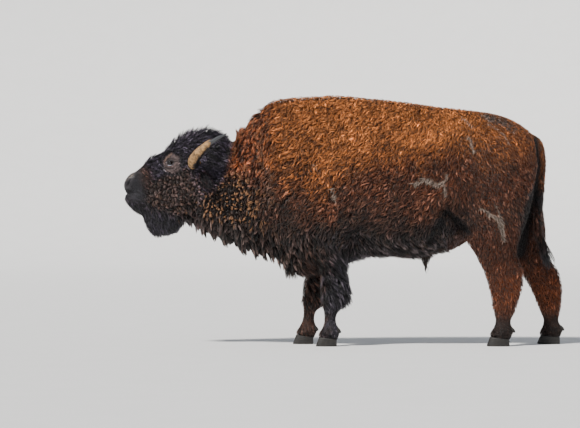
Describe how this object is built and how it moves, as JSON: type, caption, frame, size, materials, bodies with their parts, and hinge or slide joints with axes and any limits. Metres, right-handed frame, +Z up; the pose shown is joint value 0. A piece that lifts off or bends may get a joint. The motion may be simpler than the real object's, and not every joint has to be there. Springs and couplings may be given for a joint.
{
  "type": "american bison bull, still life-size model",
  "caption": "American bison bull standing on all four feet with its head raised, a still life-size model of the whole animal in its coat.",
  "frame": {"origin": "on the floor, under the middle of the whole animal's box", "axes": "+Z up; -X the way the bull faces, so +X runs towards its tail; -Y its left side"},
  "size_m": [3.1092, 0.6764, 1.7547],
  "materials": {
    "coat_brown": "thick woolly orange-brown to dark brown coat of the trunk, neck and hind legs",
    "coat_dark": "black-brown hair of the head, beard, ears, forelegs and tail",
    "horn": "rough tan sheath over a dark, smooth, slender tip",
    "hoof": "dark grey-black horn, dull, ridged round the wall",
    "eye": "wet dark brown eyeball"
  },
  "bodies": {
    "root": {"trunk": "coat_brown", "neck": "coat_brown", "head": "coat_dark", "beard": "coat_dark", "foreleg_left": "coat_dark", "foreleg_right": "coat_dark", "hindleg_left": "coat_brown", "hindleg_right": "coat_brown", "horn_left": "horn", "horn_right": "horn", "ear_left": "coat_dark", "ear_right": "coat_dark", "eye_left": "eye", "eye_right": "eye", "tail": "coat_dark", "hoof_fore_left_inner": "hoof", "dewclaw_fore_left_inner": "hoof", "hoof_fore_left_outer": "hoof", "dewclaw_fore_left_outer": "hoof", "hoof_fore_right_inner": "hoof", "dewclaw_fore_right_inner": "hoof", "hoof_fore_right_outer": "hoof", "dewclaw_fore_right_outer": "hoof", "hoof_hind_left_inner": "hoof", "dewclaw_hind_left_inner": "hoof", "hoof_hind_left_outer": "hoof", "dewclaw_hind_left_outer": "hoof", "hoof_hind_right_inner": "hoof", "dewclaw_hind_right_inner": "hoof", "hoof_hind_right_outer": "hoof", "dewclaw_hind_right_outer": "hoof"}
  },
  "joints": []
}
